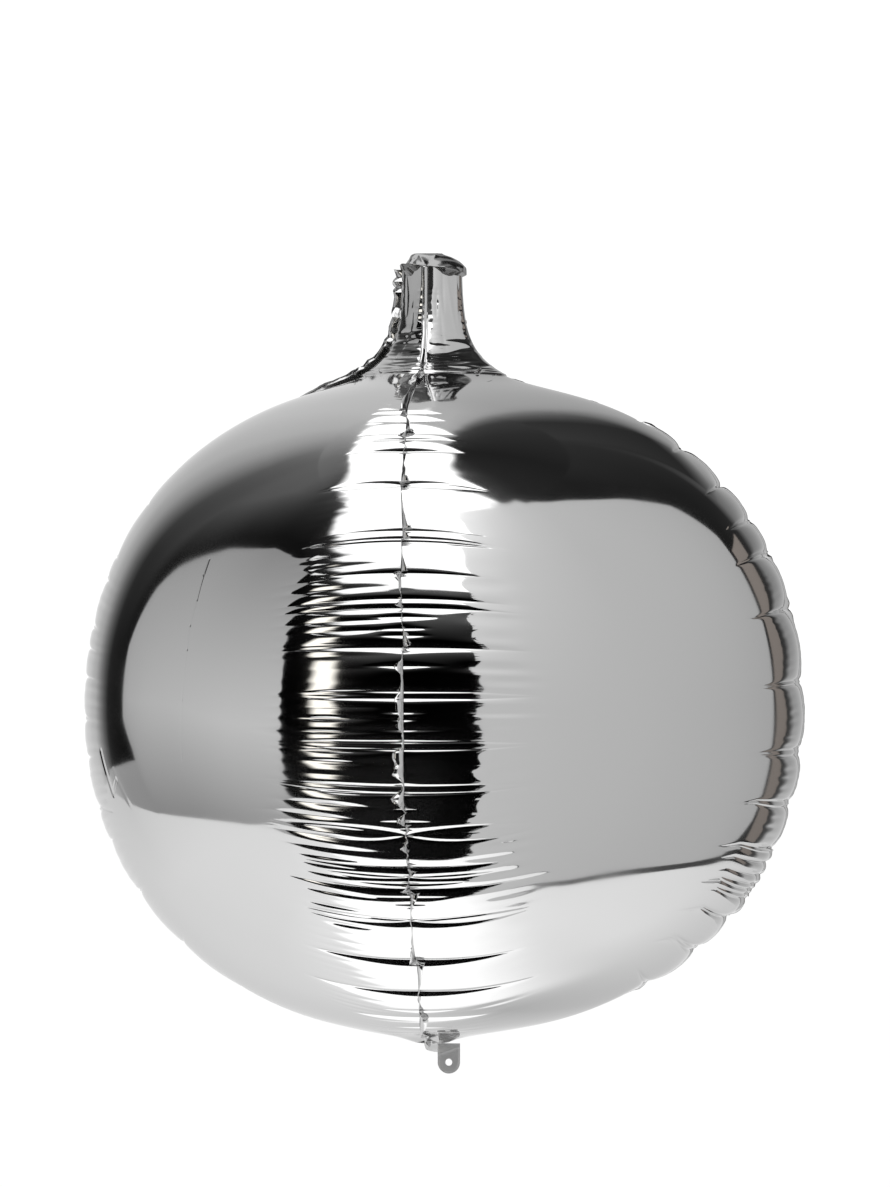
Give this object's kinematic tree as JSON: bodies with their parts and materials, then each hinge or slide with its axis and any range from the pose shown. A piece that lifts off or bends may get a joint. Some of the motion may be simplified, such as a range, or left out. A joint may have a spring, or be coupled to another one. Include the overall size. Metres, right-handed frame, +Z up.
{
  "type": "foil balloon",
  "caption": "Round mirror-silver foil balloon of welded film gores, held by its folded neck, with a hole tab at the bottom.",
  "frame": {"origin": "hanging point, at the middle of the top edge of the folded neck, on the axis of neck and tail", "axes": "+Z up along the axis from the tail to the neck; -Y front, where one weld faces the viewer; +X right; the welds lie on the -Y, +X, +Y and -X sides"},
  "size_m": [0.556, 0.556, 0.6264],
  "materials": {
    "film": "mirror-bright metallised polymer film, smooth on the gores and finely wrinkled along the welds",
    "weld": "metallised film pressed flat in the heat weld, a little duller, puckered",
    "tab": "single flat metallised film, satin grey"
  },
  "bodies": {
    "envelope": {"gore_front_right": "film", "gore_back_right": "film", "gore_back_left": "film", "gore_front_left": "film", "neck_front_right": "film", "neck_back_right": "film", "neck_back_left": "film", "neck_front_left": "film", "weld_front": "weld", "weld_right": "weld", "weld_back": "weld", "weld_left": "weld", "neck_fold": "film", "tail_weld": "weld", "tab_root": "tab", "second_tab": "tab"},
    "tab": {"hole_tab": "tab"}
  },
  "joints": [
    {"name": "tab_fold", "type": "hinge", "parent": "envelope", "child": "tab", "pos_m": [0.0132, -0.002, -0.6085], "axis": [0.9372, 0, 0.3487], "range_deg": [-60, 60]}
  ]
}
